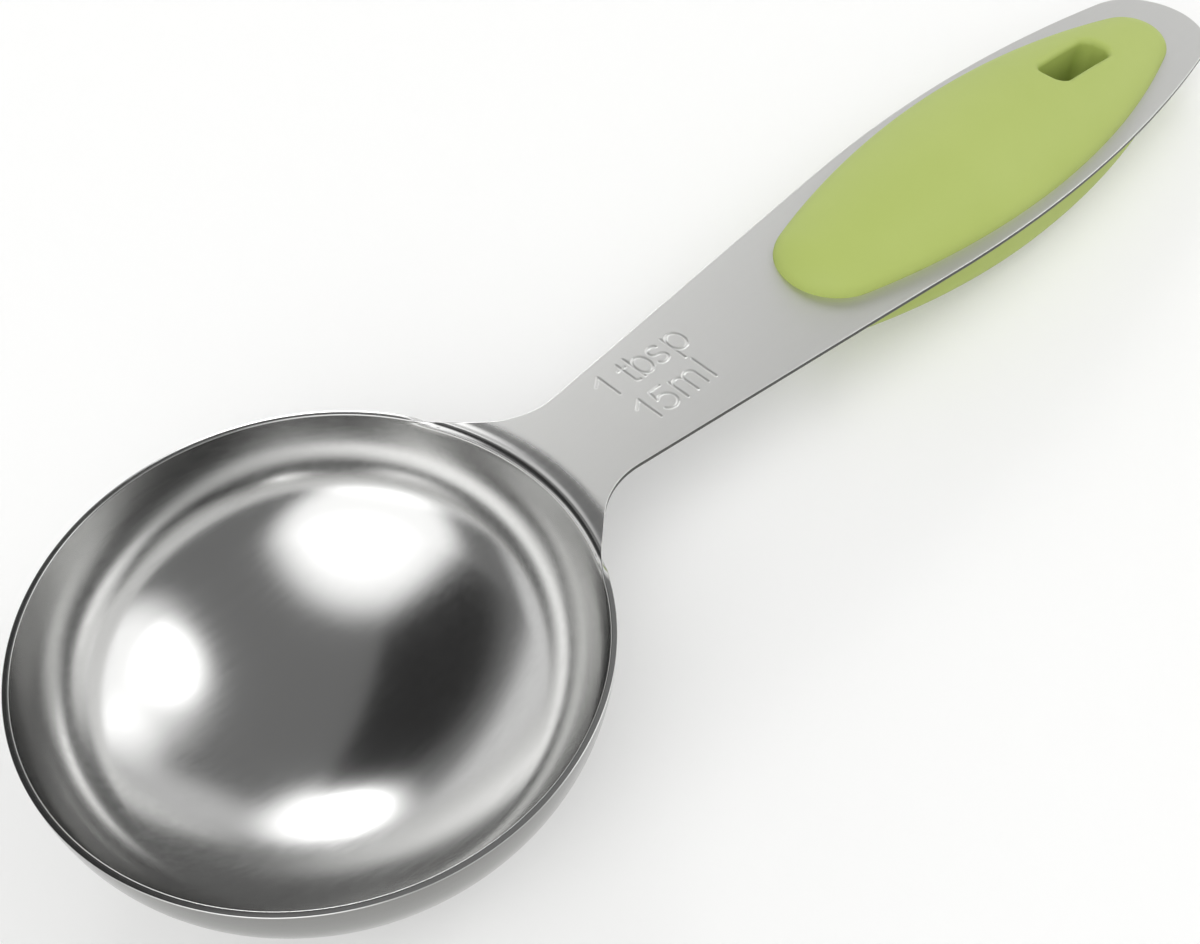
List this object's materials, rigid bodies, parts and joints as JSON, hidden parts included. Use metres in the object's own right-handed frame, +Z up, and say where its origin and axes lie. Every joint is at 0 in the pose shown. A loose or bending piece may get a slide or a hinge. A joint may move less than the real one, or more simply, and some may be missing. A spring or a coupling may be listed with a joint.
{
  "type": "measuring spoon",
  "caption": "Steel tablespoon measure: a round level-rimmed bowl of 15 ml on a flat tapering handle with a soft two-sided grip and a slot to hang it by.",
  "frame": {"origin": "centre of the bowl's mouth, on the plane of the level rim", "axes": "+X runs from the bowl along the handle, +Z points up out of the bowl, +Y is to the left of the handle"},
  "size_m": [0.1381, 0.044, 0.02],
  "materials": {
    "stainless_steel": "polished",
    "core_plastic": "matte",
    "soft_green": "matte"
  },
  "bodies": {
    "root": {"steel_spoon": "stainless_steel", "upper_core": "core_plastic", "lower_core": "core_plastic", "upper_grip_pad": "soft_green", "lower_grip_pad": "soft_green"}
  },
  "joints": []
}
